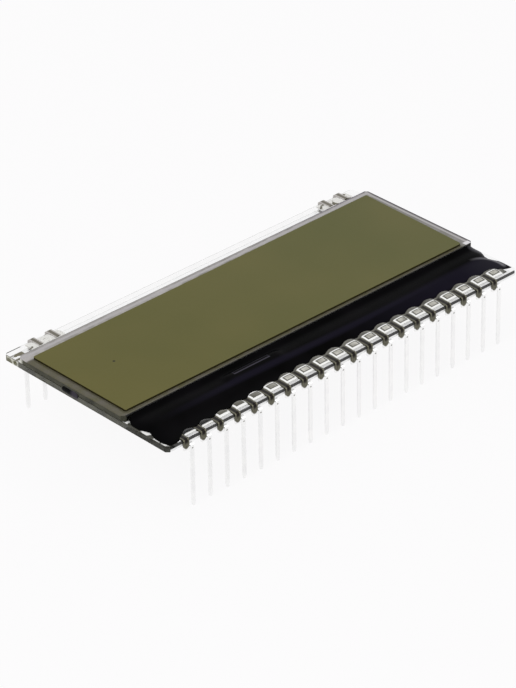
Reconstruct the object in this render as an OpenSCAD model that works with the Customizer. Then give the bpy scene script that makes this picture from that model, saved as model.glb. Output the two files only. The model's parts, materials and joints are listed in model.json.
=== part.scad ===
// Chip-on-glass character display with edge-clip leads: two sheets of glass around a
// liquid crystal film, a bare driver chip under a black resin bead on the front ledge,
// and two rows of stamped leads on a 2.54 mm grid that clip onto the glass edges.
// Origin: on the table, under the middle of the module, with the lead tips at z = 0.
// X runs along the rows of leads, the front row of leads is at -Y, and +Z is the viewing side.

/* [Glass] */
// Width of both sheets of glass, along the rows of leads
glass_w = 55; // [53.5:0.5:60]
// Thickness of each sheet of glass
glass_t = 0.7; // [0.5:0.1:1.1]
// Gap between the sheets that the liquid crystal fills, drawn far wider than the real 6 microns
cell_gap = 0.05; // [0.03:0.01:0.1]
// Depth of the bare ledge that carries the chip and the front contacts
front_ledge = 7.1; // [6.5:0.1:8]
// Depth of the bare ledge that carries the back contacts
back_ledge = 2.5; // [2.2:0.1:4]
// Size of the ground chamfer along the edges of the glass
glass_seam = 0.08; // [0.04:0.01:0.15]
// Size of the corners snapped off the sheets
glass_corner = 0.5; // [0.2:0.1:0.8]

/* [Polarizers] */
// Thickness of the front polarizer
front_polarizer_t = 0.25; // [0.15:0.05:0.4]
// Thickness of the rear polarizer with its reflector
rear_polarizer_t = 0.2; // [0.15:0.05:0.3]
// Bare glass left beside the polarizers at each end
margin_side = 0.95; // [0.6:0.05:2]
// Bare glass left along the front edge of the upper sheet
margin_front = 0.7; // [0.5:0.05:2]
// Bare glass left along the back edge of the upper sheet
margin_back = 1.6; // [0.5:0.05:2]
// Corner radius of the polarizers
polarizer_r = 0.25; // [0.1:0.05:0.5]

/* [Seal] */
// Distance from the edge of the upper sheet to the seal
seal_inset = 0.4; // [0.3:0.05:0.8]
// Width of the printed seal
seal_w = 1; // [0.8:0.1:1.6]
// Width of the channel left in the seal for filling
port_w = 1.6; // [1:0.1:2.5]
// Place of the filling channel along the left side, from the middle of the upper sheet
port_y = -0.1; // [-4:0.1:4]
// Width of the plug that closes the filling channel
plug_w = 2.6; // [2.6:0.1:4]
// How far the plug stands out from the glass
plug_out = 0.12; // [0.05:0.01:0.2]
// Height of the plug on the glass
plug_h = 0.76; // [0.5:0.02:0.8]
// Diameter of the conductive dots that join the two sheets
dot_d = 0.6; // [0.4:0.05:0.7]

/* [Driver chip] */
// Length of the bare chip, along the ledge
chip_l = 7; // [4:0.5:12]
// Width of the bare chip
chip_w = 1.3; // [0.9:0.1:1.6]
// Thickness of the bare chip
chip_t = 0.4; // [0.3:0.05:0.5]
// Place of the chip along the ledge, from the middle
chip_x = -9.8; // [-14:0.1:14]
// Distance from the upper sheet to the chip
chip_back = 1.4; // [1:0.1:1.8]
// Thickness of the bonding film under the chip
bond_t = 0.05; // [0.03:0.01:0.08]
// How far the bonding film reaches past the chip on each side
bond_out = 0.2; // [0.1:0.05:0.4]

/* [Resin] */
// Height of the resin's crest above the ledge
crest_h = 0.5; // [0.4:0.05:0.7]
// Distance from the upper sheet to the crest
crest_back = 2.8; // [2.6:0.1:3.2]
// Cover of resin over the chip
chip_cover = 0.12; // [0.08:0.01:0.25]
// Distance from the front edge of the glass to the resin, on the right-hand part
resin_front = 2.1; // [2:0.1:2.6]
// How much nearer to the edge the resin flows on the left-hand part
resin_flow = 0.95; // [0.5:0.05:1]
// Where the resin starts to flow nearer to the edge, from the middle
flow_start = -3.5; // [-5:0.5:0]
// Length over which it does so
flow_l = 17; // [9:0.5:17]
// Bare glass left at the ends of the resin
resin_end = 0.3; // [0.3:0.05:0.8]

/* [Leads] */
// Pitch of the leads
pitch = 2.54; // [2.5:0.01:2.6]
// Number of leads in the front row
front_leads = 20; // [16:2:20]
// Number of leads at each end of the back row
back_leads = 2; // [1:1:3]
// Distance between the two rows of leads
row_spacing = 27.94; // [27.5:0.02:29]
// Thickness of the strip that the leads are stamped from
strip_t = 0.2; // [0.15:0.01:0.3]
// Width of a lead
lead_w = 0.5; // [0.4:0.05:0.6]
// Height from the lead tips to the underside of the lower sheet
stand_off = 8; // [5:0.5:12]
// Width of the finger that grips the top of the glass
finger_w = 0.8; // [0.6:0.05:0.9]
// Slot between the lead and the finger beside it
slot_w = 0.2; // [0.15:0.05:0.3]
// How far the finger reaches over the glass
finger_l = 1.6; // [1.2:0.1:1.8]
// How far the lower jaw reaches under the glass
jaw_l = 1; // [0.6:0.1:1.4]
// Inside radius of the bends
bend_r = 0.1; // [0.06:0.01:0.15]
// Height of the bar that joins the finger to the lead
bar_h = 0.3; // [0.25:0.05:0.5]
// Length of the tapered tip of a lead
tip_l = 0.5; // [0.3:0.1:1]

/* [Adhesive] */
// Height of the clear adhesive above the ledge
glue_h = 0.34; // [0.3:0.02:0.5]
// Bare strip between the edge of the glass and the adhesive
glue_back = 0.4; // [0.3:0.05:0.6]
// How far the adhesive reaches past the last lead of the front row
glue_end = 1.7; // [1.4:0.1:2]
// Height of the adhesive beside a finger, where it dips to leave the metal bare
glue_dip = 0.1; // [0.06:0.02:0.2]
// How much further back the adhesive reaches between the fingers than beside them
glue_scallop = 0.3; // [0:0.05:0.4]

/* [Hidden] */
// Steps of the bead surfaces along one pitch, and rows across the resin and the adhesive
steps = 6;
resin_rows = 12;
glue_rows = 4;

// Levels, from the lead tips up
under_z = stand_off;
ledge_z = under_z + glass_t;
upper_z = ledge_z + cell_gap;
top_z = upper_z + glass_t;

// The web of each clip stands one bend radius off the edge of the lower sheet
glass_edge = row_spacing / 2 - strip_t / 2 - bend_r;
upper_front = -glass_edge + front_ledge;
upper_back = glass_edge - back_ledge;
upper_mid = (upper_front + upper_back) / 2;
upper_d = upper_back - upper_front;
lead_x0 = -(front_leads - 1) / 2 * pitch;
finger_x = -(lead_w + finger_w) / 2 - slot_w;
bar_top = under_z - strip_t;

function two(n) = str(n < 10 ? "0" : "", n);
function lead_name(row, n) = str(row, "_lead_", two(n));
function lead_x(n) = lead_x0 + (n - 1) * pitch;

// Leads are numbered from the left; the back row has only its first and last ones
front_numbers = [for (n = [1:front_leads]) n];
back_numbers = [for (n = front_numbers) if (n <= back_leads || n > front_leads - back_leads) n];

// ---------- shared shapes ----------

// Outline of a plate with its four corners snapped off
module clipped(w, d, c) {
    polygon([
        [-w / 2 + c, -d / 2], [w / 2 - c, -d / 2], [w / 2, -d / 2 + c], [w / 2, d / 2 - c],
        [w / 2 - c, d / 2], [-w / 2 + c, d / 2], [-w / 2, d / 2 - c], [-w / 2, -d / 2 + c]]);
}

// Sheet of glass with snapped corners and ground edges, on z = 0
module glass_sheet(d) {
    intersection() {
        linear_extrude(height = glass_t) clipped(glass_w, d, glass_corner);
        translate([0, d / 2, glass_t / 2]) rotate([90, 0, 0])
            linear_extrude(height = d) clipped(glass_w, glass_t, glass_seam);
        translate([-glass_w / 2, 0, glass_t / 2]) rotate([90, 0, 90])
            linear_extrude(height = glass_w) clipped(d, glass_t, glass_seam);
    }
}

// Sheet of polarizer film with rounded corners, from y0 to y1, on z = 0
module film_sheet(t) {
    w = glass_w - 2 * margin_side;
    y0 = upper_front + margin_front;
    y1 = upper_back - margin_back;
    linear_extrude(height = t) {
        translate([-w / 2 + polarizer_r, y0]) square([w - 2 * polarizer_r, y1 - y0]);
        translate([-w / 2, y0 + polarizer_r]) square([w, y1 - y0 - 2 * polarizer_r]);
        for (x = [-1, 1], y = [y0 + polarizer_r, y1 - polarizer_r])
            translate([x * (w / 2 - polarizer_r), y]) circle(r = polarizer_r, $fn = 32);
    }
}

// Low bead on the ledge: a grid of points, each placed by place(i, j) and raised by rise(i, j),
// with walls down to the glass around it. i runs along X and j runs towards +Y.
module bead(cols, rows, place, rise) {
    n = (cols + 1) * (rows + 1);
    function at(i, j) = i * (rows + 1) + j;
    top = [for (i = [0:cols], j = [0:rows]) let (p = place(i, j)) [p[0], p[1], ledge_z + rise(i, j)]];
    foot = [for (p = top) [p[0], p[1], ledge_z]];
    rim = concat([for (i = [0:cols]) at(i, 0)], [for (j = [1:rows]) at(cols, j)],
                 [for (i = [cols - 1:-1:0]) at(i, rows)], [for (j = [rows - 1:-1:1]) at(0, j)]);
    skin = [for (i = [0:cols - 1], j = [0:rows - 1], k = [0, 1])
        k == 0 ? [at(i, j), at(i + 1, j + 1), at(i + 1, j)] : [at(i, j), at(i, j + 1), at(i + 1, j + 1)]];
    wall = [for (k = [0:len(rim) - 1])
        let (a = rim[k], b = rim[(k + 1) % len(rim)]) [a, b, b + n, a + n]];
    polyhedron(points = concat(top, foot), faces = concat(skin, wall, [[for (r = rim) r + n]]));
}

// ---------- glass cell ----------

module lower_glass() {
    color([0.86, 0.9, 0.88, 0.5]) translate([0, 0, under_z]) glass_sheet(2 * glass_edge);
}

module upper_glass() {
    color([0.86, 0.9, 0.88, 0.5]) translate([0, upper_mid, upper_z]) glass_sheet(upper_d);
}

// Inside of the seal, with the filling channel at its left side
module seal_inside() {
    inset = seal_inset + seal_w;
    translate([-glass_w / 2 + inset, -upper_d / 2 + inset]) square([glass_w - 2 * inset, upper_d - 2 * inset]);
    translate([-glass_w / 2 + seal_inset, port_y - port_w / 2]) square([inset, port_w]);
}

// Places of the conductive dots, in the corners of the seal
module at_dots() {
    for (x = [-1, 1], y = [-1, 1])
        translate([x * (glass_w / 2 - seal_inset - seal_w / 2), y * (upper_d / 2 - seal_inset - seal_w / 2)])
            children();
}

module seal_frame() {
    color([0.35, 0.35, 0.33]) translate([0, upper_mid, ledge_z]) linear_extrude(height = cell_gap)
        difference() {
            square([glass_w - 2 * seal_inset, upper_d - 2 * seal_inset], center = true);
            seal_inside();
            at_dots() circle(d = dot_d, $fn = 32);
        }
}

module liquid_crystal() {
    color([0.55, 0.54, 0.34]) translate([0, upper_mid, ledge_z]) linear_extrude(height = cell_gap)
        seal_inside();
}

module crossover_dots() {
    color([0.75, 0.75, 0.72]) translate([0, upper_mid, ledge_z]) linear_extrude(height = cell_gap)
        at_dots() circle(d = dot_d, $fn = 32);
}

// Plug: a low pillow on the left side face, with a tongue between the sheets
module port_plug() {
    // Radius of the pillow's crown, from its height and how far it stands out
    crown_r = (plug_h * plug_h / 4 + plug_out * plug_out) / (2 * plug_out);
    color([0.06, 0.06, 0.06]) translate([-glass_w / 2, upper_mid + port_y, ledge_z + cell_gap / 2]) {
        intersection() {
            translate([crown_r - plug_out, plug_w / 2, 0]) rotate([90, 0, 0])
                cylinder(r = crown_r, h = plug_w, $fn = 96);
            translate([-plug_out, 0, 0]) rotate([0, 90, 0]) linear_extrude(height = plug_out)
                for (y = [-1, 1]) {
                    translate([0, y * (plug_w - plug_h) / 2]) circle(d = plug_h, $fn = 48);
                    square([plug_h, plug_w - plug_h], center = true);
                }
        }
        translate([0, -port_w / 2, -cell_gap / 2]) cube([seal_inset, port_w, cell_gap]);
    }
}

module front_polarizer() {
    color([0.4, 0.39, 0.24]) translate([0, 0, top_z]) film_sheet(front_polarizer_t);
}

module rear_polarizer() {
    color([0.62, 0.64, 0.6]) translate([0, 0, under_z - rear_polarizer_t]) film_sheet(rear_polarizer_t);
}

// ---------- driver chip and its resin ----------

chip_y = upper_front - chip_back - chip_w / 2;

module driver_chip() {
    color([0.3, 0.3, 0.34]) translate([chip_x, chip_y, ledge_z + bond_t + chip_t / 2])
        cube([chip_l, chip_w, chip_t], center = true);
}

module chip_bond_film() {
    color([0.72, 0.66, 0.5]) translate([chip_x, chip_y, ledge_z + bond_t / 2])
        cube([chip_l + 2 * bond_out, chip_w + 2 * bond_out, bond_t], center = true);
}

// Smooth step from 0 to 1 as v goes from a to b
function ease(a, b, v) = let (t = max(0, min(1, (v - a) / (b - a)))) t * t * (3 - 2 * t);

// Smooth hump of height 1 around v = c that ends r away from it
function hump(c, r, v) = abs(v - c) < r ? (1 + cos(180 * (v - c) / r)) / 2 : 0;

// Columns of the beads lie on one grid along X, so that neighbouring beads share their margin.
// The grid has no column at a lead, so no column runs close beside a finger's edge.
grid_x = pitch / steps;
resin_half = glass_w / 2 - resin_end;
resin_cols = 2 * ceil(resin_half / grid_x + 0.5) - 1;
function column_x(i) = max(-resin_half, min(resin_half, (i - resin_cols / 2) * grid_x));
function column_at(x) = round(x / grid_x + resin_cols / 2);

// Place between two fingers that stand a pitch apart: 0 at x0 and 1 halfway to the next finger
function between(x, x0) = (1 - cos(360 * (x - x0) / pitch)) / 2;
first_finger = lead_x(1) + finger_x;
last_finger = lead_x(front_leads) + finger_x;

// Front margin of the resin: it flows nearer to the glass edge on the left, and at both ends,
// and it is pushed back by the adhesive between the fingers
end_flow = resin_end + 2.5;
function resin_margin(x) =
    -glass_edge + resin_front - glue_scallop / 2
    - resin_flow * ease(flow_start, flow_start - flow_l, x)
    - 0.25 * ease(flow_start - flow_l, -resin_half, x)
    - 0.6 * ease(end_flow - resin_half, end_flow - 1.5 - resin_half, x)
    - 1.2 * ease(resin_half - end_flow, resin_half, x)
    + (x > first_finger && x < last_finger ? glue_scallop * between(x, first_finger) : 0);

// How far the two ends of the resin are pulled in, from the upper sheet (f = 0) to the front (f = 1)
function left_pull(f) = 0.5 * hump(0, 0.15, f) + 0.45 * hump(0.5, 0.2, f) + 0.35 * hump(1, 0.15, f);
function right_pull(f) = 0.6 * hump(0.47, 0.28, f);
// Share of an end's pull that reaches a column at x
function pull_share(x) = ease(resin_half - 2, resin_half, abs(x));

// Rows run from the front margin (f = 1) to the upper sheet (f = 0), closer together near the sheet
function row_f(j) = pow(1 - j / resin_rows, 1.3);

function resin_xy(i, j) = let (x = column_x(i), f = row_f(j))
    [x + pull_share(x) * (x < 0 ? left_pull(f) : -right_pull(f)),
     upper_front + (resin_margin(x) - upper_front) * f];

// Height of the resin at a distance d from the upper sheet, where the bead is w wide:
// it climbs the front face of the sheet, dips, and rises to its crest
function climb(d) = 0.9 * glass_t * exp(-d / 0.3);
function crest_d(x) = crest_back + 0.5 * hump(12, 10, x) - 0.4 * ease(16, 22, abs(x));
function crest(d, c, w) = crest_h * pow(cos(90 * min(1,
    d < c ? (c - d) / (c + 0.9) : (d - c) / (w - c + 0.25))), 1.4);
function chip_mound(x, y) = (bond_t + chip_t + chip_cover)
    * ease(chip_l / 2 + 2.2, chip_l / 2 + 0.1, abs(x - chip_x))
    * ease(chip_w / 2 + 1, chip_w / 2 + 0.1, abs(y - chip_y));
// On the left-hand part the resin is thick enough at its front to cover the ends of the fingers
function front_lip(x) = (strip_t + 0.03) * ease(flow_start, flow_start - flow_l / 2, x);
function soft_max(a, b) = pow(pow(a, 8) + pow(b, 8), 1 / 8);

function resin_rise(i, j) =
    let (x = column_x(i), p = resin_xy(i, j), d = upper_front - p[1], w = upper_front - resin_margin(x),
         end = resin_half - abs(x))
    min(0.97 * (glass_t + cell_gap),
        0.04 + (1 - 0.85 * exp(-end / 0.55))
             * soft_max(soft_max(crest(d, crest_d(x), w) + climb(d), chip_mound(p[0], p[1])), front_lip(x)));

module resin_bead() {
    // A resize to no new size keeps the bead as it is, and joins it with its cuts into one mesh
    color([0.05, 0.05, 0.06]) resize([0, 0, 0]) difference() {
        bead(resin_cols, resin_rows, function(i, j) resin_xy(i, j), function(i, j) resin_rise(i, j));
        driver_chip();
        chip_bond_film();
        for (n = front_numbers) if (finger_reach(n)) front_finger(n);
    }
}

// True where a front finger ends in the resin
function finger_reach(n) = let (x = lead_x(n) + finger_x)
    min([for (k = [-1:1]) resin_margin(x + k * finger_w)]) < -glass_edge + finger_l;

// ---------- clear adhesive between the clips ----------

// Height of the adhesive at f, from its front margin (f = 0) to its back (f = 1): it swells
// between the fingers, one of which stands at x0, and dips beside them
function glue_rise(f, x, x0) = let (swell = glue_dip + (glue_h - glue_dip) * ease(0.1, 0.6, between(x, x0)))
    glue_dip / 2 + (swell - glue_dip / 2) * pow(sin(180 * (0.08 + 0.7 * f)), 0.6);

// It starts beside the first finger, where the resin ends, and runs past the last lead
glue_first = column_at(max(first_finger + grid_x / 2, end_flow - 0.4 - resin_half));
glue_last = column_at(min(lead_x(front_leads) + glue_end, resin_half - resin_end - 0.9));
function glue_xy(i, j) = let (x = column_x(i + glue_first), y0 = -glass_edge + glue_back)
    [x, y0 + (resin_margin(x) - y0) * j / glue_rows];

module front_adhesive() {
    color([0.9, 0.92, 0.9, 0.6]) resize([0, 0, 0]) difference() {
        bead(glue_last - glue_first, glue_rows, function(i, j) glue_xy(i, j),
             function(i, j) glue_rise(j / glue_rows, glue_xy(i, j)[0], first_finger));
        for (n = front_numbers) front_finger(n);
    }
}

// Adhesive over the clips at one end of the back row, from lead a to lead b
module back_adhesive(a, b) {
    x0 = lead_x(a) - lead_w;
    x1 = lead_x(b) - finger_x + finger_w / 2 + lead_w;
    cols = steps * (b - a + 1);
    reach = finger_l + 0.3;
    color([0.9, 0.92, 0.9, 0.6]) resize([0, 0, 0]) difference() {
        bead(cols, glue_rows,
             function(i, j) [x0 + (x1 - x0) * i / cols,
                             glass_edge - reach + (reach - glue_back) * j / glue_rows],
             function(i, j) glue_rise(1 - j / glue_rows, x0 + (x1 - x0) * i / cols, lead_x(a) - finger_x)
                            * (i == 0 || i == cols ? 0.7 : 1));
        for (n = [a:b]) back_finger(n);
    }
}

module back_left_adhesive() {
    back_adhesive(1, back_leads);
}

module back_right_adhesive() {
    back_adhesive(front_leads - back_leads + 1, front_leads);
}

// ---------- leads ----------

// Stretch of strip of width w around x, bent to the side profile given as a child:
// the child's x is the distance from the middle of the module, and its y is the height
module bent_strip(x, w) {
    translate([x, 0, 0]) rotate([90, 0, -90]) linear_extrude(height = w, center = true) children();
}

// Quarter of a bend around [u, z], in the quadrant away from the glass and above
module quarter_bend(u, z) {
    translate([u, z]) intersection() {
        difference() {
            circle(r = bend_r + strip_t, $fn = 32);
            circle(r = bend_r, $fn = 24);
        }
        square(bend_r + strip_t);
    }
}

// Side profile of the flat part of the finger, which lies on the ledge
module finger_profile() {
    translate([glass_edge - finger_l, ledge_z]) square([finger_l, strip_t]);
}

// Side profile of the finger: over the ledge, round the edge and down to the bar
module upper_tine_profile() {
    finger_profile();
    quarter_bend(glass_edge, ledge_z - bend_r);
    translate([glass_edge + bend_r, bar_top - bar_h / 2]) square([strip_t, ledge_z - bend_r - bar_top + bar_h / 2]);
}

// Side profile of the lower jaw: from the lead, round and under the glass
module lower_tine_profile() {
    quarter_bend(glass_edge, under_z - strip_t - bend_r);
    translate([glass_edge - jaw_l, under_z - strip_t]) square([jaw_l, strip_t]);
}

// Front view of the flat part: the bar below the finger, and the lead with its tapered tip
module blade_outline() {
    left = finger_x - finger_w / 2;
    bar_low = bar_top - bar_h;
    translate([left + bar_h / 2, bar_low]) square([lead_w / 2 - left - bar_h / 2, bar_h]);
    translate([left, bar_top - bar_h / 2]) square([bar_h / 2, bar_h / 2]);
    translate([left + bar_h / 2, bar_top - bar_h / 2]) circle(d = bar_h, $fn = 32);
    polygon([
        [-lead_w / 2, bar_top - bend_r], [-lead_w / 2, tip_l], [-lead_w / 4, 0],
        [lead_w / 4, 0], [lead_w / 2, tip_l], [lead_w / 2, bar_top - bend_r]]);
}

// One stamped lead at the front edge, around x = 0
module lead() {
    color([0.78, 0.77, 0.74]) {
        bent_strip(finger_x, finger_w) upper_tine_profile();
        bent_strip(0, lead_w) lower_tine_profile();
        difference() {
            translate([0, -glass_edge - bend_r, 0]) rotate([90, 0, 0])
                linear_extrude(height = strip_t) blade_outline();
            // Above its bend the lead has turned under the glass
            translate([-lead_w / 2, -glass_edge - bend_r - strip_t, bar_top - bend_r])
                cube([2 * lead_w, strip_t, stand_off]);
        }
    }
}

module front_lead(n) {
    translate([lead_x(n), 0, 0]) lead();
}

module back_lead(n) {
    translate([lead_x(n), 0, 0]) rotate([0, 0, 180]) lead();
}

module front_finger(n) {
    translate([lead_x(n), 0, 0]) bent_strip(finger_x, finger_w) finger_profile();
}

module back_finger(n) {
    translate([lead_x(n), 0, 0]) rotate([0, 0, 180]) bent_strip(finger_x, finger_w) finger_profile();
}

// ---------- assembly ----------

lower_glass();
upper_glass();
seal_frame();
liquid_crystal();
crossover_dots();
port_plug();
front_polarizer();
rear_polarizer();
driver_chip();
chip_bond_film();
resin_bead();
front_adhesive();
back_left_adhesive();
back_right_adhesive();
for (n = front_numbers)
    front_lead(n);
for (n = back_numbers)
    back_lead(n);
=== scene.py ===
"""Looks of the chip-on-glass character display: glass, films, resin, adhesive, leads and studio."""
import json
import math

import bmesh
import bpy
from mathutils import Matrix, Vector


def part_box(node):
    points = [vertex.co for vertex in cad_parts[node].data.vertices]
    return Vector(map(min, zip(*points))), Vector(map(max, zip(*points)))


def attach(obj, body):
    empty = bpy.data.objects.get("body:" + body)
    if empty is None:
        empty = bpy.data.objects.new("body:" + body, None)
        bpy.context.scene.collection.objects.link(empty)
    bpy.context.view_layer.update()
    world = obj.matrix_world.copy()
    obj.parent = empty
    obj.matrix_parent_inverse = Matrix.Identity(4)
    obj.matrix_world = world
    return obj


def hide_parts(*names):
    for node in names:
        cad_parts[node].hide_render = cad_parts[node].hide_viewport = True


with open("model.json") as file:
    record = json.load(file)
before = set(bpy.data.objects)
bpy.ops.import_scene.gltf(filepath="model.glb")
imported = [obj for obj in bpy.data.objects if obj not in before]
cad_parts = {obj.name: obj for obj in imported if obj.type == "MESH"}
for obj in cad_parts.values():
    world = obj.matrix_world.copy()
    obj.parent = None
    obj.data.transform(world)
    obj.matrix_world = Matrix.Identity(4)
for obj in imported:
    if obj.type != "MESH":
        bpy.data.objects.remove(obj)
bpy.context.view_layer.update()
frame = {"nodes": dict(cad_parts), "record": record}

MM = 0.001
NODES = frame["nodes"]
LEADS = sorted(n for n in NODES if "_lead_" in n)
SLOT_OF = {s["node"]: s["material_slot"] for s in frame["record"]["subparts"]}

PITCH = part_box("front_lead_02")[0].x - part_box("front_lead_01")[0].x
FINGER_W = 0.8 * MM
LEAD_OFFSET = 0.85 * MM
CELL_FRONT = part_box("upper_glass")[0].y
LEDGE_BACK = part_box("lower_glass")[1].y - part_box("upper_glass")[1].y
LEDGE_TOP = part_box("lower_glass")[1].z


# ---------- node helpers ----------

def srgb(r, g, b):
    """Scene-linear colour from 0 to 255 display values."""
    def linear(v):
        v = v / 255
        return v / 12.92 if v <= 0.04045 else ((v + 0.055) / 1.055) ** 2.4
    return (linear(r), linear(g), linear(b), 1)


def build_drift():
    """Node group: slow and fine noise over a surface, for tone, gloss and bump."""
    group = bpy.data.node_groups.new("surface_drift", "ShaderNodeTree")
    face = group.interface
    face.new_socket("Vector", in_out="INPUT", socket_type="NodeSocketVector")
    sockets = (("Broad Scale", "INPUT"), ("Fine Scale", "INPUT"), ("Broad", "OUTPUT"), ("Fine", "OUTPUT"))
    for name, way in sockets:
        face.new_socket(name, in_out=way, socket_type="NodeSocketFloat")
    entry, outcome = group.nodes.new("NodeGroupInput"), group.nodes.new("NodeGroupOutput")
    for scale, out, detail in (("Broad Scale", "Broad", 2), ("Fine Scale", "Fine", 4)):
        noise = group.nodes.new("ShaderNodeTexNoise")
        noise.inputs["Detail"].default_value = detail
        spread = group.nodes.new("ShaderNodeMapRange")
        spread.inputs["From Min"].default_value = 0.3
        spread.inputs["From Max"].default_value = 0.7
        group.links.new(entry.outputs["Vector"], noise.inputs["Vector"])
        group.links.new(entry.outputs[scale], noise.inputs["Scale"])
        group.links.new(noise.outputs["Fac"], spread.inputs["Value"])
        group.links.new(spread.outputs["Result"], outcome.inputs[out])
    return group


DRIFT = build_drift()


class Finish:
    """A material on its way: a Principled shader fed by the drift group."""

    def __init__(self, name, broad=120, fine=4000):
        self.material = bpy.data.materials.new(name)
        self.material.use_nodes = True
        self.nodes = self.material.node_tree.nodes
        self.links = self.material.node_tree.links
        self.shader = self.nodes["Principled BSDF"]
        self.place = self.nodes.new("ShaderNodeTexCoord")
        self.drift = self.nodes.new("ShaderNodeGroup")
        self.drift.node_tree = DRIFT
        self.drift.inputs["Broad Scale"].default_value = broad
        self.drift.inputs["Fine Scale"].default_value = fine
        self.link(self.place.outputs["Object"], self.drift.inputs["Vector"])
        self.broad, self.fine = self.drift.outputs["Broad"], self.drift.outputs["Fine"]

    def link(self, out, into):
        self.links.new(out, into)

    def set(self, **values):
        """Constants on the shader's own sockets, named with underscores for spaces."""
        for key, value in values.items():
            self.shader.inputs[key.replace("_", " ")].default_value = value
        return self

    def math(self, operation, *values):
        node = self.nodes.new("ShaderNodeMath")
        node.operation = operation
        for socket, value in zip(node.inputs, values):
            if isinstance(value, (int, float)):
                socket.default_value = value
            else:
                self.link(value, socket)
        return node.outputs["Value"]

    def minus(self, a, b):
        return self.math("SUBTRACT", a, b)

    def both(self, a, b):
        return self.math("MULTIPLY", a, b)

    def larger(self, a, b):
        return self.math("MAXIMUM", a, b)

    def ramp(self, value, low, high, out_low, out_high):
        """Value mapped from low..high to out_low..out_high, and held at the ends."""
        node = self.nodes.new("ShaderNodeMapRange")
        self.link(value, node.inputs["Value"])
        node.inputs["From Min"].default_value = low
        node.inputs["From Max"].default_value = high
        node.inputs["To Min"].default_value = out_low
        node.inputs["To Max"].default_value = out_high
        return node.outputs["Result"]

    def rise(self, value, low, high):
        """0 below low, 1 above high."""
        return self.ramp(value, low, high, 0, 1)

    def fall(self, value, low, high):
        """1 below low, 0 above high."""
        return self.ramp(value, low, high, 1, 0)

    def band(self, value, low, high, soft):
        """1 from low to high, falling to 0 over soft on either side."""
        return self.both(self.rise(value, low - soft, low), self.fall(value, high, high + soft))

    def spot(self, centre, radius):
        """1 inside a small sphere around a point, 0 outside."""
        node = self.nodes.new("ShaderNodeVectorMath")
        node.operation = "DISTANCE"
        self.link(self.place.outputs["Object"], node.inputs[0])
        node.inputs[1].default_value = centre
        return self.fall(node.outputs["Value"], radius * 0.6, radius)

    def axis(self, letter, output="Object"):
        """One axis of the surface's place (Object) or facing (Normal)."""
        split = self.nodes.new("ShaderNodeSeparateXYZ")
        self.link(self.place.outputs[output], split.inputs["Vector"])
        return split.outputs[letter]

    def upward(self):
        """1 on faces that look up, 0 on the sides and underneath."""
        return self.rise(self.axis("Z", "Normal"), 0.3, 0.7)

    def flat(self):
        """1 on the two broad faces of a sheet, 0 on its edges."""
        return self.rise(self.math("ABSOLUTE", self.axis("Z", "Normal")), 0.93, 0.97)

    def mix(self, factor, a, b):
        """Colour that goes from a to b as the factor socket goes from 0 to 1."""
        node = self.nodes.new("ShaderNodeMix")
        node.data_type = "RGBA"
        self.link(factor, node.inputs["Factor"])
        for socket, value in (("A", a), ("B", b)):
            target = next(s for s in node.inputs if s.name == socket and s.type == "RGBA")
            if isinstance(value, tuple):
                target.default_value = value
            else:
                self.link(value, target)
        return next(s for s in node.outputs if s.type == "RGBA")

    def drifting(self, a, b):
        """Colour that drifts slowly over the surface between two tones."""
        return self.mix(self.broad, a, b)

    def paint(self, colour):
        self.link(colour, self.shader.inputs["Base Color"])
        return self

    def tone(self, a, b):
        """Base colour drifts slowly between two tones."""
        self.colour = self.drifting(a, b)
        return self.paint(self.colour)

    def gloss(self, low, high):
        """Roughness drifts finely between two values."""
        self.link(self.ramp(self.fine, 0, 1, low, high), self.shader.inputs["Roughness"])
        return self

    def bump(self, microns, source="Fine"):
        node = self.nodes.new("ShaderNodeBump")
        node.inputs["Strength"].default_value = 1
        node.inputs["Distance"].default_value = microns * 1e-6
        self.link(self.drift.outputs[source], node.inputs["Height"])
        self.link(node.outputs["Normal"], self.shader.inputs["Normal"])
        return self


# ---------- glass ----------

def edge_paint(f, node, clear_end, front_tone):
    """Edge of a sheet: olive-grey left end, darker beside the ledge and painted pale over the last
    clear_end at the back as light seen through the bare glass, and a front of front_tone under a painted
    dark line."""
    low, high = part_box(node)
    side, along, height = f.axis("X"), f.axis("Y"), f.axis("Z")
    near_cell, turn, chamfer, line_height = 0.6 * MM, 0.2 * MM, 0.45 * MM, 0.34 * MM
    olive_grey = f.drifting(srgb(50, 50, 41), srgb(76, 75, 61))
    ledge = f.mix(f.fine, srgb(32, 32, 28), srgb(64, 64, 57))
    left = f.mix(f.fall(along, CELL_FRONT - near_cell, CELL_FRONT + near_cell), olive_grey, ledge)
    # painted light: pale tone for the light that shows through the bare back end of the edge
    clear = f.drifting(srgb(150, 148, 128), srgb(236, 235, 226))
    start = high.y - clear_end
    left = f.mix(f.rise(along, start - turn, start + turn), left, clear)
    # painted dark line under the top of the front face
    line = f.rise(height, high.z - line_height - 0.04 * MM, high.z - line_height)
    front = f.mix(line, front_tone, srgb(14, 14, 12))
    on_front = f.both(f.fall(along, low.y + 0.1 * MM, low.y + 0.12 * MM),
                      f.rise(side, low.x + chamfer, low.x + chamfer + 0.05 * MM))
    return f.mix(on_front, left, front)


def far_edges(f, node):
    """1 on the back and right-hand edges of a sheet."""
    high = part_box(node)[1]
    corner, skin, step = 0.55 * MM, 0.09 * MM, 0.01 * MM
    return f.larger(f.rise(f.axis("X"), high.x - corner - step, high.x - corner),
                    f.rise(f.axis("Y"), high.y - skin - step, high.y - skin))


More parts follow.
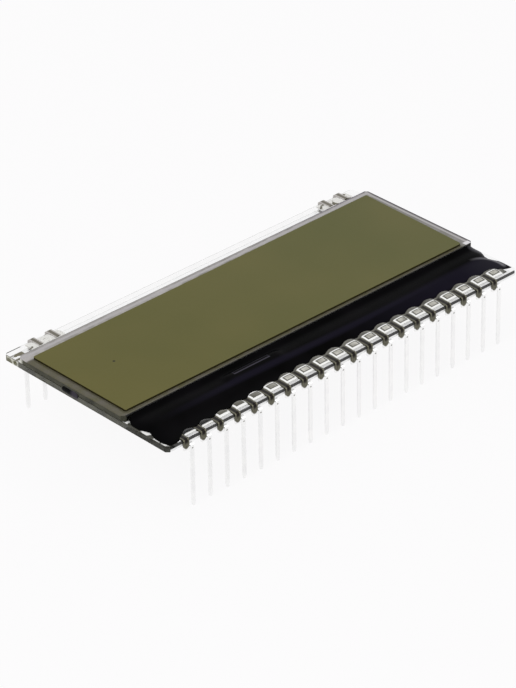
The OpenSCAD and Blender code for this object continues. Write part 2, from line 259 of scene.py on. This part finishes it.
def polished_glass():
    """Lower sheet: broad faces nearly clear, with more veil at a low angle, darker lines along the left
    and back rims, painted white glints over a dark mottle on the bare strip beside the resin, and dried
    residue at the back-left corner."""
    f = Finish("polished_glass", broad=900, fine=3000)
    low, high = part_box("lower_glass")
    side, along = f.axis("X"), f.axis("Y")
    f.tone((0.90, 0.91, 0.91, 1), (0.95, 0.95, 0.96, 1)).gloss(0.02, 0.08)

    strip_width, soft = 1.6 * MM, 0.1 * MM
    strip = f.both(f.band(side, low.x, low.x + strip_width, soft), f.band(along, low.y, CELL_FRONT, soft))
    # painted highlight: white glints over a dark mottle on the bare strip beside the resin
    strip_glints_and_mottle = f.mix(f.rise(f.broad, 0.45, 0.6), srgb(62, 62, 56), srgb(232, 232, 230))
    residue = f.both(f.both(f.band(side, low.x + 0.3 * MM, low.x + 1.8 * MM, 0.15 * MM),
                            f.band(along, high.y - 1.6 * MM, high.y - 1.05 * MM, 0.12 * MM)),
                     f.rise(f.broad, 0.3, 0.5))

    rim_soft, thin_rim, wide_rim, corner = 0.06 * MM, 0.14 * MM, 0.2 * MM, 2.3 * MM
    rim = f.larger(f.fall(side, low.x + thin_rim, low.x + thin_rim + rim_soft),
                   f.rise(along, high.y - thin_rim, high.y - thin_rim + rim_soft))
    rim = f.larger(rim, f.both(f.fall(side, low.x + corner, low.x + corner + 0.3 * MM),
                               f.rise(along, high.y - wide_rim - rim_soft, high.y - wide_rim)))
    face = f.mix(rim, f.mix(strip, f.colour, strip_glints_and_mottle), srgb(78, 76, 68))
    face = f.mix(residue, face, srgb(112, 107, 90))

    # lower sheet's front painted near white: painted reflection of the white floor
    edge = edge_paint(f, "lower_glass", LEDGE_BACK, srgb(246, 246, 246))
    for back, up, radius in ((0.35, 0.35, 0.5), (1.1, 0.2, 0.55), (2.1, 0.4, 0.4)):
        place = (low.x, high.y - back * MM, low.z + up * MM)
        edge = f.mix(f.spot(place, radius * MM), edge, srgb(88, 86, 58))
    f.paint(f.mix(f.flat(), edge, face))

    veil = f.nodes.new("ShaderNodeLayerWeight")
    veil.inputs["Blend"].default_value = 0.25
    # alpha is raised where the residue, the rim lines and the painted glints of the strip lie
    residue_rims_and_glints = f.both(f.larger(f.larger(strip, residue), rim), f.upward())
    face_alpha = f.larger(f.ramp(veil.outputs["Fresnel"], 0, 1, 0.04, 0.4), residue_rims_and_glints)
    edge_alpha = f.ramp(far_edges(f, "lower_glass"), 0, 1, 0.92, 0.06)
    alpha = f.math("ADD", edge_alpha, f.both(f.flat(), f.minus(face_alpha, edge_alpha)))
    f.link(alpha, f.shader.inputs["Alpha"])
    return f.set(Specular_IOR_Level=0.1).material


def cover_glass():
    """Upper sheet: the seal print shows as a margin around the polarizer, dull in front and on
    the left, painted pale at the back and on the right as painted reflection, with a painted highlight
    band and painted shade along the outer rim there. The resin wets the front rim black, and a painted
    glint lights the front-right corner."""
    f = Finish("cover_glass", broad=700, fine=4000)
    low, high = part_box("upper_glass")
    film_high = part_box("front_polarizer")[1]
    side, along = f.axis("X"), f.axis("Y")
    soft, line_width, line_soft = 0.1 * MM, 0.22 * MM, 0.08 * MM

    margin = f.drifting(srgb(90, 87, 65), srgb(97, 93, 84))
    # painted reflection: the margin is paler on the right and at the back
    right = f.drifting(srgb(122, 120, 113), srgb(142, 139, 138))
    back = f.drifting(srgb(138, 135, 130), srgb(182, 178, 177))
    margin = f.mix(f.rise(side, film_high.x - 0.8 * MM, film_high.x - 0.65 * MM), margin, right)
    margin = f.mix(f.rise(along, film_high.y - 0.2 * MM, film_high.y + 0.1 * MM), margin, back)
    # painted highlight band inside the back and right rims
    bright = f.larger(f.band(side, high.x - 0.64 * MM, high.x - 0.46 * MM, soft),
                      f.band(along, high.y - 0.8 * MM, high.y - 0.5 * MM, soft))
    margin = f.mix(bright, margin, srgb(178, 175, 176))
    # painted glint at the front-right corner
    glint = f.both(f.band(side, high.x - 1.1 * MM, high.x - 0.3 * MM, soft),
                   f.band(along, low.y + 0.2 * MM, low.y + 0.7 * MM, 0.15 * MM))
    margin = f.mix(glint, margin, srgb(226, 224, 227))

    # painted shade: dark line along the outer rim
    outer = f.larger(f.rise(side, high.x - line_width - line_soft, high.x - line_width),
                     f.rise(along, high.y - line_width - line_soft, high.y - line_width))
    back_line = f.mix(f.rise(side, 8 * MM, 22 * MM), srgb(150, 147, 146), srgb(122, 117, 126))
    line = f.mix(f.rise(side, high.x - 1.2 * MM, high.x - 0.6 * MM), back_line, srgb(76, 71, 80))
    margin = f.mix(outer, margin, line)
    wetted = f.fall(along, low.y + 0.14 * MM, low.y + 0.2 * MM)
    margin = f.mix(wetted, margin, srgb(9, 9, 9))

    edge = edge_paint(f, "upper_glass", 0.8 * MM, srgb(22, 22, 20))
    behind = f.drifting(srgb(98, 97, 86), srgb(128, 126, 116))
    edge = f.mix(far_edges(f, "upper_glass"), edge, behind)
    f.paint(f.mix(f.upward(), edge, margin)).gloss(0.05, 0.15)
    return f.set(Alpha=0.93, Specular_IOR_Level=0.1).material


# ---------- films, seal and dots ----------

def front_film():
    """Olive polarizer: even satin face, browner on the left, with dark cut edges and one speck."""
    f = Finish("olive_polarizer", broad=70, fine=9000)
    low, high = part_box("front_polarizer")
    across = f.rise(f.axis("X"), low.x, high.x)
    darker = f.mix(across, srgb(90, 87, 41), srgb(86, 87, 47))
    lighter = f.mix(across, srgb(97, 92, 45), srgb(93, 91, 51))
    f.tone(darker, lighter)
    faced = f.mix(f.upward(), srgb(44, 40, 19), f.colour)
    speck = (-20.7 * MM, 2.6 * MM, high.z)
    f.paint(f.mix(f.spot(speck, 0.2 * MM), faced, srgb(36, 32, 22))).gloss(0.32, 0.42).bump(0.6)
    return f.set(Specular_IOR_Level=0.1).material


def rear_film():
    f = Finish("transflective_film", broad=90, fine=16000)
    f.tone(srgb(186, 188, 182), srgb(196, 197, 190)).gloss(0.4, 0.55).bump(1.5)
    return f.set(Metallic=0.35).material


def display_fluid():
    f = Finish("liquid_crystal_film", broad=80)
    return f.tone(srgb(150, 148, 108), srgb(162, 158, 118)).gloss(0.2, 0.3).material


def seal_epoxy():
    """Printed seal: dull, and painted paler towards the back and the right as painted reflection."""
    f = Finish("printed_seal", broad=400, fine=12000)
    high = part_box("seal_frame")[1]
    turn_from, turn_to = 3 * MM, 1 * MM
    f.tone(srgb(100, 98, 84), srgb(112, 109, 96)).gloss(0.5, 0.7).bump(2)
    # painted reflection: paler towards the back and the right
    pale = f.larger(f.rise(f.axis("X"), high.x - turn_from, high.x - turn_to),
                    f.rise(f.axis("Y"), high.y - turn_from, high.y - turn_to))
    return f.paint(f.mix(pale, f.colour, srgb(168, 164, 172))).material


def silver_epoxy():
    f = Finish("silver_epoxy", broad=2000, fine=30000)
    f.tone(srgb(190, 190, 186), srgb(214, 213, 206)).gloss(0.3, 0.5).bump(2)
    return f.set(Metallic=0.7).material


def bare_silicon():
    f = Finish("bare_silicon", broad=900, fine=20000)
    f.tone(srgb(84, 86, 98), srgb(100, 100, 112)).gloss(0.1, 0.25)
    return f.set(Metallic=0.6).material


def bond_adhesive():
    f = Finish("conductive_bond_film", broad=900, fine=30000)
    return f.tone(srgb(180, 160, 118), srgb(196, 176, 130)).gloss(0.3, 0.5).bump(1.5).material


# ---------- resin and adhesive ----------

def chip_edge_highlights(f, side, along):
    """Masks of the faint painted highlight lines over the chip's edges, and of the stronger painted
    highlight along its front.
    """
    low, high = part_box("driver_chip")
    left, right = low.x + 0.7 * MM, high.x - 0.9 * MM
    near, far = low.y + 0.97 * MM, low.y + 1.5 * MM
    rim, soft = 0.14 * MM, 0.05 * MM
    outside = f.both(f.band(side, left, right, soft), f.band(along, near, far, soft))
    inside = f.both(f.band(side, left + rim, right - rim, soft),
                    f.band(along, near + rim, far - rim, soft))
    front = f.both(f.band(side, left, right, soft), f.band(along, near, near + 0.12 * MM, 0.08 * MM))
    return f.minus(outside, inside), front


def black_resin():
    """Glossy black resin: a violet painted reflection on the slope in front of its crest, a painted sheen
    and a painted arc of light on the lobe at its right-hand end, a painted highlight at the right end of
    the upper lobe, and painted highlight lines along the edges of the mound over the chip."""
    f = Finish("black_encapsulant", broad=240, fine=5000)
    side, along = f.axis("X"), f.axis("Y")
    f.tone(srgb(5, 5, 5), srgb(10, 9, 11)).gloss(0.12, 0.3).bump(3, source="Broad")

    crest = -10.6 * MM
    setback = f.ramp(side, -14 * MM, 6 * MM, 1.3 * MM, 0.85 * MM)
    slope = f.minus(along, setback)
    # painted reflection: violet band on the left and a broader violet band on the right, in front of the
    # crest
    violet_band_reflection = f.both(f.band(slope, crest - 0.4 * MM, crest, 0.5 * MM), f.rise(side, -25 * MM, -14 * MM))
    violet_apron_reflection = f.both(f.band(slope, crest - 1.6 * MM, crest, 0.7 * MM), f.rise(side, 2 * MM, 18 * MM))
    colour = f.mix(f.larger(violet_band_reflection, violet_apron_reflection), f.colour, srgb(22, 20, 30))

    lobe_x, lobe_y, lobe_radius = 24 * MM, -11.9 * MM, 2.8 * MM
    # painted sheen on the right-hand lobe
    sheen = f.both(f.rise(side, 21.5 * MM, 26.5 * MM), f.band(along, -12 * MM, -10.2 * MM, 1.1 * MM))
    colour = f.mix(sheen, colour, srgb(38, 37, 43))
    # painted highlight: arc of light along the edge of the right-hand lobe
    from_x, from_y = f.minus(side, lobe_x), f.minus(along, lobe_y)
    reach = f.math("SQRT", f.math("ADD", f.both(from_x, from_x), f.both(from_y, from_y)))
    ring = f.band(reach, lobe_radius - 0.05 * MM, lobe_radius + 0.05 * MM, 0.3 * MM)
    lit = f.both(f.rise(side, 24.2 * MM, 26.6 * MM), f.rise(along, -12.6 * MM, -12 * MM))
    colour = f.mix(f.both(ring, lit), colour, srgb(118, 117, 121))
    # painted highlight at the right end of the upper lobe
    upper_lobe_highlight = f.both(f.rise(side, 26.2 * MM, 27.3 * MM), f.band(along, -8.4 * MM, -6.6 * MM, 0.5 * MM))
    colour = f.mix(upper_lobe_highlight, colour, srgb(96, 95, 100))

    # painted highlight lines along the edges of the mound over the chip
    chip_highlight_frame, chip_front_highlight = chip_edge_highlights(f, side, along)
    colour = f.mix(chip_highlight_frame, colour, srgb(40, 38, 46))
    f.paint(f.mix(chip_front_highlight, colour, srgb(62, 59, 68)))
    return f.set(Specular_IOR_Level=0.006).material


def plug_resin():
    """Port plug: black, with a painted lilac-grey highlight on its front part."""
    f = Finish("port_plug_resin", broad=600, fine=5000)
    low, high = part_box("port_plug")
    middle = (low.y + high.y) / 2
    # painted highlight on the front part of the plug
    front = f.fall(f.axis("Y"), middle - 0.5 * MM, middle)
    f.paint(f.mix(front, srgb(8, 8, 9), srgb(58, 54, 62))).gloss(0.25, 0.4).bump(4)
    return f.set(Specular_IOR_Level=0.03).material


def clear_adhesive():
    """Clear drops between the clips: a painted white rim of light inside each, around a darker window
    with a paler middle, both painted refraction, and a dull border where the drop meets the resin. Resin
    covers the left end."""
    f = Finish("clear_adhesive", broad=900, fine=3000)
    side, along = f.axis("X"), f.axis("Y")
    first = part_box("front_lead_01")[0].x + FINGER_W / 2
    cell = f.math("FRACT", f.math("DIVIDE", f.minus(side, first), PITCH))
    depth = f.minus(along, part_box("front_adhesive")[0].y)

    def patch(left, right, near, far):
        """Rectangle between two clips: left and right in pitches, near and far in millimetres."""
        return f.both(f.band(cell, left, right, 0.025), f.band(depth, near * MM, far * MM, 0.05 * MM))

    border = f.drifting(srgb(66, 65, 58), srgb(110, 108, 99))
    # painted highlight: white rim of light inside each drop
    colour = f.mix(patch(0.19, 0.81, -0.1, 1.2), border, srgb(250, 250, 248))
    # painted refraction: darker window
    colour = f.mix(patch(0.27, 0.75, 0.28, 1.04), colour, srgb(84, 82, 72))
    # painted refraction: paler middle, darker towards the left end
    refracted_middle = f.drifting(srgb(142, 140, 130), srgb(208, 206, 198))
    refracted_middle = f.mix(f.rise(side, -14 * MM, -9 * MM), srgb(92, 90, 80), refracted_middle)
    colour = f.mix(patch(0.34, 0.68, 0.4, 0.92), colour, refracted_middle)
    covered = f.both(f.fall(side, -20.2 * MM, -19.6 * MM), f.rise(depth, 0.1 * MM, 0.2 * MM))
    f.paint(f.mix(covered, colour, srgb(9, 9, 9))).gloss(0.04, 0.15).bump(3)
    return f.set(Alpha=0.93, Specular_IOR_Level=0.3).material


def pale_adhesive():
    """Clear drops over the back clips: painted almost white for the light they pass, with a few dark
    flecks of painted reflection.
    """
    f = Finish("pale_adhesive", broad=1100, fine=3000)
    # painted reflection: dark flecks on the near white drops
    dark_reflection_fleck = f.rise(f.broad, 0.66, 0.82)
    f.paint(f.mix(dark_reflection_fleck, srgb(236, 235, 231), srgb(104, 100, 84))).gloss(0.04, 0.15).bump(3)
    return f.set(Alpha=0.85, Specular_IOR_Level=0.3).material


# ---------- leads ----------

def tin_plate(name, first_finger, dark, pale, finger_shade_tone):
    """Tin plate: bright on the leads; the clips are painted dull, from dark to pale, as painted
    reflection of the dark resin and glass, with painted shade along the middle of each finger, and end in
    a round tongue. Each lead has a small tool mark."""
    f = Finish(name, broad=900, fine=9000)
    side, height = f.axis("X"), f.axis("Z")
    f.tone(srgb(246, 246, 246), srgb(252, 252, 251)).gloss(0.25, 0.4).bump(2)

    middle, half = 0.5, FINGER_W / PITCH / 2
    cell = f.math("FRACT", f.math("DIVIDE", f.minus(side, first_finger - PITCH * middle), PITCH))
    finger = f.band(cell, middle - half - 0.01, middle + half, 0.01)
    finger_shade = f.band(cell, middle - half * 0.45, middle + half * 0.45, 0.03)
    # painted reflection on the clips, with painted shade along the middle of each finger
    clip_reflection_tone = f.mix(f.fine, dark, pale)
    clip_reflection_tone = f.mix(f.both(finger_shade, f.rise(height, 8.2 * MM, 8.5 * MM)), clip_reflection_tone, finger_shade_tone)

    tongue_end, tongue_curve = 7.6 * MM, 12 * MM
    off_middle = f.minus(cell, middle)
    lift = f.both(f.both(off_middle, off_middle), tongue_curve)
    # mask of the painted reflection on the fingers, ending in a round tongue
    clip_reflection_mask = f.both(finger, f.rise(f.minus(height, lift), tongue_end, tongue_end + 0.12 * MM))
    colour = f.mix(clip_reflection_mask, f.colour, clip_reflection_tone)

    lead = middle + LEAD_OFFSET / PITCH
    mark = f.both(f.band(height, 7.4 * MM, 7.48 * MM, 0.06 * MM),
                  f.band(cell, lead - 0.03, lead + 0.03, 0.02))
    f.paint(f.mix(mark, colour, srgb(120, 118, 110)))
    return f.set(Metallic=1.0).material


# tones of the clips' painted reflection and shade: darker in front, paler at the back
FRONT_TIN = tin_plate("tin_plate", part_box("front_lead_01")[0].x + FINGER_W / 2,
                      dark=srgb(72, 70, 58), pale=srgb(118, 116, 102), finger_shade_tone=srgb(34, 31, 29))
BACK_TIN = tin_plate("back_tin_plate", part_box("back_lead_01")[1].x - FINGER_W / 2,
                     dark=srgb(140, 136, 130), pale=srgb(214, 210, 208), finger_shade_tone=srgb(112, 108, 98))
FINISHES = {
    "glass": polished_glass(), "seal": seal_epoxy(), "crystal": display_fluid(),
    "conductive_epoxy": silver_epoxy(), "port_resin": plug_resin(),
    "polarizer": front_film(), "reflector": rear_film(), "silicon": bare_silicon(),
    "bond_film": bond_adhesive(), "resin": black_resin(), "adhesive": clear_adhesive(),
    "lead": FRONT_TIN}


def dress(obj, slot):
    obj.data.materials.clear()
    obj.data.materials.append(FINISHES[slot])


for name, node in NODES.items():
    dress(node, SLOT_OF[name])
NODES["upper_glass"].material_slots[0].material = cover_glass()
for name in LEADS:
    if name.startswith("back"):
        NODES[name].material_slots[0].material = BACK_TIN


# ---------- pieces in place of CAD nodes ----------

def merged_copy(name):
    """Copy of a CAD node's mesh with its loose triangles joined, and the bmesh that holds it."""
    mesh = NODES[name].data.copy()
    skin = bmesh.new()
    skin.from_mesh(mesh)
    bmesh.ops.remove_doubles(skin, verts=skin.verts, dist=1e-7)
    return mesh, skin


def put_in_place(name, ending, mesh, skin):
    """Piece made from a changed copy, in place of its CAD node."""
    skin.to_mesh(mesh)
    skin.free()
    if "custom_normal" in mesh.attributes:
        mesh.attributes.remove(mesh.attributes["custom_normal"])
    piece = bpy.data.objects.new(name + ending, mesh)
    bpy.context.scene.collection.objects.link(piece)
    dress(piece, SLOT_OF[name])
    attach(piece, "root")
    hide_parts(name)
    return piece


def smooth_bead(name):
    """Bead of resin or adhesive as one closed, smoothly shaded skin, a hair off the glass."""
    crease, touching, hair = math.radians(40), 1e-6, 4e-6
    mesh, skin = merged_copy(name)
    for vertex in skin.verts:
        if abs(vertex.co.z - LEDGE_TOP) < touching:
            vertex.co.z += hair
    for face in skin.faces:
        face.smooth = True
    for edge in skin.edges:
        edge.smooth = len(edge.link_faces) == 2 and edge.calc_face_angle(0) < crease
    return put_in_place(name, "_skin", mesh, skin)


def laminated_film():
    """Front polarizer as it was laid on: its right-hand end stops short and is cut a little askew."""
    short_front, short_back = 0.68 * MM, 0.26 * MM
    skew_front, skew_back = -0.18 * MM, 0.42 * MM
    mesh, skin = merged_copy("front_polarizer")
    low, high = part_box("front_polarizer")
    middle = (low + high) / 2
    for vertex in skin.verts:
        across = (vertex.co.x - low.x) / (high.x - low.x)
        deep = (vertex.co.y - low.y) / (high.y - low.y)
        vertex.co.y += (skew_back if vertex.co.y > middle.y else skew_front) * across
        if vertex.co.x > middle.x:
            vertex.co.x -= short_front + (short_back - short_front) * deep
    put_in_place("front_polarizer", "_film", mesh, skin)


laminated_film()
smooth_bead("resin_bead")
smooth_bead("front_adhesive")
PALE_DROPS = pale_adhesive()
for bead in ("back_left_adhesive", "back_right_adhesive"):
    smooth_bead(bead).material_slots[0].material = PALE_DROPS


# ---------- studio ----------

def seen(tree):
    """1 for camera, glossy and transmission rays, which see the white surroundings."""
    path = tree.nodes.new("ShaderNodeLightPath")
    total = path.outputs["Is Camera Ray"]
    for ray in ("Is Glossy Ray", "Is Transmission Ray"):
        larger = tree.nodes.new("ShaderNodeMath")
        larger.operation = "MAXIMUM"
        tree.links.new(total, larger.inputs[0])
        tree.links.new(path.outputs[ray], larger.inputs[1])
        total = larger.outputs["Value"]
    return total


def build_world():
    """White for the rays that see it, a little dimmer for the light it gives."""
    world = bpy.data.worlds.new("white_surroundings")
    world.use_nodes = True
    tree = world.node_tree
    strength = tree.nodes.new("ShaderNodeMapRange")
    strength.inputs["To Min"].default_value = 0.7
    strength.inputs["To Max"].default_value = 1.0
    tree.links.new(seen(tree), strength.inputs["Value"])
    back = tree.nodes["Background"]
    back.inputs["Color"].default_value = (1, 1, 1, 1)
    tree.links.new(strength.outputs["Result"], back.inputs["Strength"])
    bpy.context.scene.world = world


def floor_paint():
    """Pale matt floor that mostly glows white for the rays that see it, and keeps a faint shadow."""
    white_share = 0.94
    material = bpy.data.materials.new("pale_floor")
    material.use_nodes = True
    tree = material.node_tree
    paint = tree.nodes["Principled BSDF"]
    paint.inputs["Base Color"].default_value = (0.9, 0.9, 0.9, 1)
    paint.inputs["Roughness"].default_value = 0.9
    paint.inputs["Specular IOR Level"].default_value = 0
    glow = tree.nodes.new("ShaderNodeEmission")
    glow.inputs["Color"].default_value = (0.98, 0.975, 0.98, 1)
    blend = tree.nodes.new("ShaderNodeMixShader")
    share = tree.nodes.new("ShaderNodeMath")
    share.operation = "MULTIPLY"
    share.inputs[1].default_value = white_share
    tree.links.new(seen(tree), share.inputs[0])
    tree.links.new(share.outputs["Value"], blend.inputs["Fac"])
    tree.links.new(paint.outputs["BSDF"], blend.inputs[1])
    tree.links.new(glow.outputs["Emission"], blend.inputs[2])
    tree.links.new(blend.outputs["Shader"], tree.nodes["Material Output"].inputs["Surface"])
    return material


def build_floor():
    half = 1.5
    corners = [(-half, -half, 0), (half, -half, 0), (half, half, 0), (-half, half, 0)]
    mesh = bpy.data.meshes.new("floor")
    mesh.from_pydata(corners, [], [(0, 1, 2, 3)])
    mesh.materials.append(floor_paint())
    floor = bpy.data.objects.new("floor", mesh)
    bpy.context.scene.collection.objects.link(floor)


def softbox(name, place, size, watts):
    """Square area lamp that looks at the middle of the module."""
    lamp = bpy.data.lights.new(name, "AREA")
    lamp.size = size
    lamp.energy = watts
    box = bpy.data.objects.new(name, lamp)
    box.location = place
    box.rotation_euler = (-Vector(place)).to_track_quat("-Z", "Y").to_euler()
    bpy.context.scene.collection.objects.link(box)


def build_camera():
    """Camera in front of the left end and above, rolled and shifted a little."""
    turn, lift, roll = (math.radians(v) for v in (-42.8, 31.137, -0.971))
    distance, to_side, to_head = 404.403 * MM, 0.832 * MM, 3.218 * MM
    back = Vector((math.sin(turn) * math.cos(lift), -math.cos(turn) * math.cos(lift), math.sin(lift)))
    right = Vector((math.cos(turn), math.sin(turn), 0))
    up = back.cross(right)
    side = right * math.cos(roll) + up * math.sin(roll)
    head = up * math.cos(roll) - right * math.sin(roll)
    target = Vector((0, 0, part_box("lower_glass")[0].z))
    place = target + back * distance - side * to_side - head * to_head
    lens = bpy.data.cameras.new("camera")
    lens.lens = 184.78
    camera = bpy.data.objects.new("camera", lens)
    camera.matrix_world = Matrix.Translation(place) @ Matrix((side, head, back)).transposed().to_4x4()
    bpy.context.scene.collection.objects.link(camera)
    bpy.context.scene.camera = camera


build_world()
build_floor()
softbox("key_lamp", place=(-0.35, -0.1, 0.5), size=0.35, watts=1.1)
softbox("fill_lamp", place=(0.3, -0.4, 0.35), size=0.4, watts=0.5)
build_camera()
bpy.context.scene.view_settings.view_transform = "Standard"
